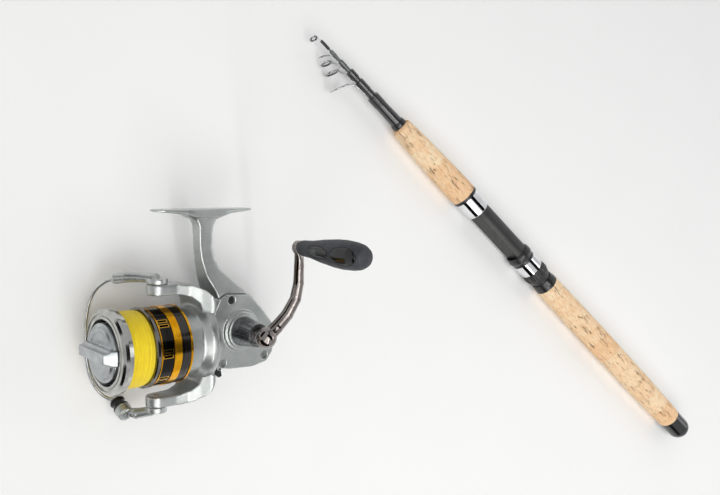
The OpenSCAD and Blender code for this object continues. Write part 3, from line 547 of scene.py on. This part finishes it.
def cast(node, slot, voxel, passes):
    """A CAD shape with its edges rounded as a casting's are."""
    rough_piece = bpy.data.objects.new(node + "_work", welded(node))
    bpy.context.scene.collection.objects.link(rough_piece)
    skin = rough_piece.modifiers.new("skin", "REMESH")
    skin.mode = "VOXEL"
    skin.voxel_size = voxel * MM
    soften = rough_piece.modifiers.new("soften", "SMOOTH")
    soften.factor = 0.5
    soften.iterations = passes
    seen = rough_piece.evaluated_get(bpy.context.evaluated_depsgraph_get())
    mesh = bpy.data.meshes.new_from_object(seen)
    bpy.data.objects.remove(rough_piece)
    return new_piece(node + "_cast", mesh, slot, node)


def mesh_of(name, points, faces):
    mesh = bpy.data.meshes.new(name)
    mesh.from_pydata([tuple(p) for p in points], [], faces)
    mesh.validate()
    mesh.update()
    return mesh


def rings_to_faces(count, around, start=0, closed_ends=True):
    """Quads between successive rings of points, and a cap on each end."""
    faces = []
    for i in range(count - 1):
        for k in range(around):
            a, b = start + i * around + k, start + i * around + (k + 1) % around
            faces.append((a, b, b + around, a + around))
    if closed_ends:
        faces.append(tuple(start + k for k in reversed(range(around))))
        faces.append(tuple(start + (count - 1) * around + k for k in range(around)))
    return faces


def spline(points, steps):
    """A Catmull-Rom curve through the points."""
    ends = [points[0] * 2 - points[1]] + points + [points[-1] * 2 - points[-2]]
    out = []
    for i in range(1, len(ends) - 2):
        p0, p1, p2, p3 = ends[i - 1:i + 3]
        for s in range(steps):
            t = s / steps
            out.append(0.5 * (2 * p1 + (p2 - p0) * t + (2 * p0 - 5 * p1 + 4 * p2 - p3) * t * t
                              + (3 * p1 - p0 - 3 * p2 + p3) * t ** 3))
    return out + [points[-1]]


def tube(path, radii, around, start=0):
    """Points and faces of a round tube along a path."""
    points = []
    side = None
    for i, here in enumerate(path):
        ahead = (path[min(i + 1, len(path) - 1)] - path[max(i - 1, 0)]).normalized()
        if side is None:
            side = ahead.orthogonal().normalized()
        side = (side - ahead * side.dot(ahead)).normalized()
        other = ahead.cross(side)
        for k in range(around):
            turn = 2 * math.pi * k / around
            points.append(here + (side * math.cos(turn) + other * math.sin(turn)) * radii[i])
    return points, rings_to_faces(len(path), around, start)


def turned_profile(profile, origin, axis, around, start=0):
    """Points and faces of a solid of revolution: (distance along, radius) pairs round an axis."""
    axis = axis.normalized()
    side = axis.orthogonal().normalized()
    other = axis.cross(side)
    points = []
    for along, radius in profile:
        for k in range(around):
            turn = 2 * math.pi * k / around
            points.append(origin + axis * along + (side * math.cos(turn) + other * math.sin(turn)) * radius)
    return points, rings_to_faces(len(profile), around, start)


# ---- pieces ----
def between_stations(shape, share):
    """A value read off (share, value) pairs by straight lines."""
    for (t0, r0), (t1, r1) in zip(shape, shape[1:]):
        if share <= t1:
            return r0 + (r1 - r0) * (share - t0) / (t1 - t0)
    return shape[-1][1]


def make_bail_wire():
    """The bail's wire in one smooth bend, thickening into its foot beside the line roller."""
    route = [Vector(p) for p in WIRE_ROUTE]
    axis = Vector(ROLLER_AXIS).normalized()
    foot = Vector(ROLLER_CENTRE) - axis * 4.6
    route.append(foot)
    path = spline(route, 8)
    swell = 14
    radii = [WIRE_R] * (len(path) - swell) + [WIRE_R + 0.6 * (i / swell) for i in range(1, swell + 1)]
    points, faces = tube(path, radii, 20)
    disc = [(0.0, 1.9), (0.25, 2.3), (1.9, 2.3), (2.15, 1.9)]
    more, more_faces = turned_profile(disc, Vector(ROLLER_CENTRE) - axis * 5.6, axis, 40, len(points))
    placed = [BAIL @ (p * MM) for p in points + more]
    new_piece("bail_wire_bent", mesh_of("bail_wire_bent", placed, faces + more_faces), "wire_steel", "bail_wire")


def make_wound_line():
    """Turns of line laid side by side on the spool, a little uneven, fuller in the middle."""
    first, last = LINE_X + 0.05, LINE_X + LINE_W - 0.05
    shape = [(0.0, 21.8), (0.1, 22.4), (0.5, 22.65), (0.88, 22.35), (1.0, 21.7)]
    per_turn, around = 6, 180
    core = 14.0
    count = int((last - first) / STRAND) * per_turn
    profile = [(first + (last - first) * i / count, between_stations(shape, i / count)) for i in range(count + 1)]
    points = []
    for x, base in profile:
        for k in range(around):
            turn = 2 * math.pi * k / around
            drift = 0.12 * math.sin(turn * 2 + x * 0.9) + 0.10 * turn / (2 * math.pi)
            bulge = 0.13 * (abs(math.sin(math.pi * ((x - first) / STRAND + drift))) - 1)
            swell = 0.06 * math.sin(x * 2.1 + turn)
            radius = min(base + bulge + swell, base + 0.05)
            points.append(REEL @ (Vector((x, radius * math.cos(turn), radius * math.sin(turn))) * MM))
    for x in (last, first):
        for k in range(around):
            turn = 2 * math.pi * k / around
            points.append(REEL @ (Vector((x, core * math.cos(turn), core * math.sin(turn))) * MM))
    rows = len(profile) + 2
    faces = rings_to_faces(rows, around, 0, False)
    faces += [(a, b, c, d) for a, b, c, d in
              ((((rows - 1) * around + k), ((rows - 1) * around + (k + 1) % around), (k + 1) % around, k)
               for k in range(around))]
    new_piece("wound_line_turns", mesh_of("wound_line_turns", points, faces), "line_yellow", "wound_line")


def make_pieces():
    cast("reel_frame", "reel_silver", 0.55, 12)
    cast("side_cover", "reel_silver", 0.4, 9)
    cast("rotor", "rotor_silver", 0.5, 12)
    cast("bail_arm", "bail_silver", 0.35, 14)
    cast("roller_arm", "bail_silver", 0.3, 12)
    cast("crank_arm", "crank_nickel", 0.35, 9)
    cast("drag_knob", "drag_silver", 0.35, 4)
    cast("handle_knob", "knob_grey", 0.4, 4)
    cast("knob_panels", "knob_black", 0.3, 8)
    make_bail_wire()
    make_wound_line()


# ---- stage, light and camera ----
def glow_plane(name, centre, target, size, colour, radiance):
    """A soft area light aimed at a point, as bright as asked however large it is."""
    data = bpy.data.lights.new(name, "AREA")
    data.shape = "RECTANGLE"
    data.size, data.size_y = size
    data.energy = radiance * math.pi * size[0] * size[1]
    data.color = colour
    lamp = bpy.data.objects.new(name, data)
    bpy.context.scene.collection.objects.link(lamp)
    lamp.location = centre
    lamp.rotation_mode = "QUATERNION"
    lamp.rotation_quaternion = (Vector(target) - Vector(centre)).to_track_quat("-Z", "X")
    return lamp


def stage_plane(name, centre, normal, along, size, material):
    """A flat stage piece: the floor, or a card that only reflections see."""
    normal = Vector(normal).normalized()
    along = (Vector(along) - normal * Vector(along).dot(normal)).normalized()
    other = normal.cross(along)
    a, b = along * size[0] / 2, other * size[1] / 2
    centre = Vector(centre)
    mesh = mesh_of(name, [centre - a - b, centre + a - b, centre + a + b, centre - a + b], [(0, 1, 2, 3)])
    piece = bpy.data.objects.new(name, mesh)
    bpy.context.scene.collection.objects.link(piece)
    mesh.materials.append(material)
    return piece


def floor_look():
    look = Look("floor", specular=0.1)
    tone = look.noise(look.place(), 60.0, 2.0)
    look.paint(look.mix(tone, "#fdfdfc", "#fafaf9"), look.remap(tone, 0.0, 1.0, 0.7, 0.8))
    return look.material


def card_look():
    look = Look("card", specular=0.0)
    tone = look.noise(look.place(), 60.0, 2.0)
    look.paint(look.mix(tone, "#050505", "#0a0a0a"), look.remap(tone, 0.0, 1.0, 0.9, 1.0))
    return look.material


def make_stage():
    middle = (cad_low + cad_high) / 2
    stage_plane("floor", (middle.x, middle.y, cad_low.z), (0, 0, 1), (1, 0, 0), (8.0, 8.0), floor_look())
    black = card_look()
    cards = [("card_near", (-0.4, 0.95, 0.3), (0, -1, 0), (1, 0, 0), (2.0, 0.6)),
             ("card_top", (-0.3, -0.36, 1.1), (0, 0, -1), (1, 0, 0), (1.8, 0.7)),
             ("card_left", (1.1, 0.1, 0.34), (-1, 0, 0), (0, 1, 0), (1.2, 0.5))]
    for name, centre, normal, along, size in cards:
        stage_plane(name, centre, normal, along, size, black).visible_camera = False
    glow_plane("key", (-0.2, 0.95, 1.28), middle, (2.8, 1.2), (1.0, 0.99, 0.97), 1.75)
    glow_plane("strip", (-0.7, 0.88, 1.22), middle, (2.4, 0.05), (1.0, 1.0, 1.0), 14.0)
    glow_plane("side", (-0.9, -0.7, 0.9), middle, (0.9, 0.6), (0.97, 0.98, 1.0), 1.2)
    world = bpy.data.worlds.new("studio")
    world.use_nodes = True
    backdrop = world.node_tree.nodes["Background"]
    backdrop.inputs["Color"].default_value = (0.93, 0.94, 0.95, 1.0)
    backdrop.inputs["Strength"].default_value = 0.7
    bpy.context.scene.world = world
    bpy.context.scene.view_settings.view_transform = "Standard"


def make_camera():
    """The photograph's viewpoint: high over the tip side of the rod, looking steeply down."""
    data = bpy.data.cameras.new("camera")
    data.sensor_width = 36.0
    data.lens = LENS_MM
    data.clip_start, data.clip_end = 0.02, 20.0
    camera = bpy.data.objects.new("camera", data)
    bpy.context.scene.collection.objects.link(camera)
    turn = Matrix(CAMERA_AXES).transposed().to_quaternion().to_matrix().to_4x4()
    camera.matrix_world = Matrix.Translation(CAMERA_PLACE) @ turn
    bpy.context.scene.camera = camera


dress_frame()
make_pieces()
make_stage()
make_camera()
